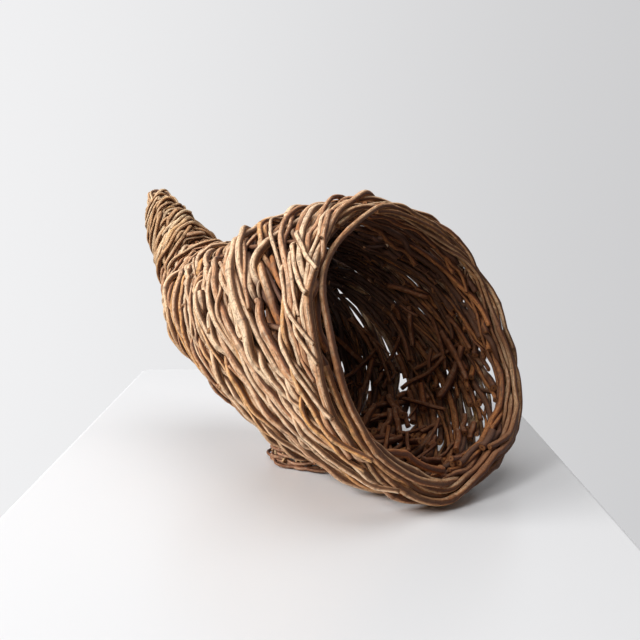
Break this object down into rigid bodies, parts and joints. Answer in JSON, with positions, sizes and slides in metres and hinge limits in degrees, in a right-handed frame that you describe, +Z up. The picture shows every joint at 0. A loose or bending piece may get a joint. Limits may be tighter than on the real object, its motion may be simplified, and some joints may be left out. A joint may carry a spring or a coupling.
{
  "type": "cornucopia basket",
  "caption": "Horn-shaped basket woven from vines over curved ribs, with a twisted rim round its wide mouth, a bound upturned tail and a foot ring; it lies down to hold fruit or flowers.",
  "frame": {"origin": "on the ground, below the middle of the basket's length, in its plane of symmetry", "axes": "+X out of the mouth along the basket's length, +Y to the left as seen from the tail looking at the mouth, +Z up"},
  "size_m": [0.5836, 0.3319, 0.3349],
  "materials": {
    "rib_bark": "rough bark",
    "weaver_bark": "rough bark",
    "rim_bark": "rough bark",
    "binding_bark": "rough bark",
    "foot_bark": "rough bark",
    "lashing_bark": "split bark"
  },
  "bodies": {
    "root": {"foot_lashing_1": "lashing_bark", "foot_lashing_2": "lashing_bark", "foot_lashing_3": "lashing_bark", "foot_lashing_4": "lashing_bark", "foot_vine_lower": "foot_bark", "foot_vine_middle": "foot_bark", "foot_vine_upper": "foot_bark", "packing_vine_1": "weaver_bark", "packing_vine_2": "weaver_bark", "packing_vine_3": "weaver_bark", "packing_vine_4": "weaver_bark", "packing_vine_5": "weaver_bark", "packing_vine_6": "weaver_bark", "rib_01": "rib_bark", "rib_02": "rib_bark", "rib_03": "rib_bark", "rib_04": "rib_bark", "rib_05": "rib_bark", "rib_06": "rib_bark", "rib_07": "rib_bark", "rib_08": "rib_bark", "rib_09": "rib_bark", "rim_strand_1": "rim_bark", "rim_strand_2": "rim_bark", "rim_strand_3": "rim_bark", "tail_binding": "binding_bark", "weaver_01": "weaver_bark", "weaver_02": "weaver_bark", "weaver_03": "weaver_bark", "weaver_04": "weaver_bark", "weaver_05": "weaver_bark", "weaver_06": "weaver_bark", "weaver_07": "weaver_bark", "weaver_08": "weaver_bark", "weaver_09": "weaver_bark", "weaver_10": "weaver_bark", "weaver_11": "weaver_bark", "weaver_12": "weaver_bark", "weaver_13": "weaver_bark", "weaver_14": "weaver_bark", "weaver_15": "weaver_bark", "weaver_16": "weaver_bark", "weaver_17": "weaver_bark", "weaver_18": "weaver_bark"}
  },
  "joints": []
}
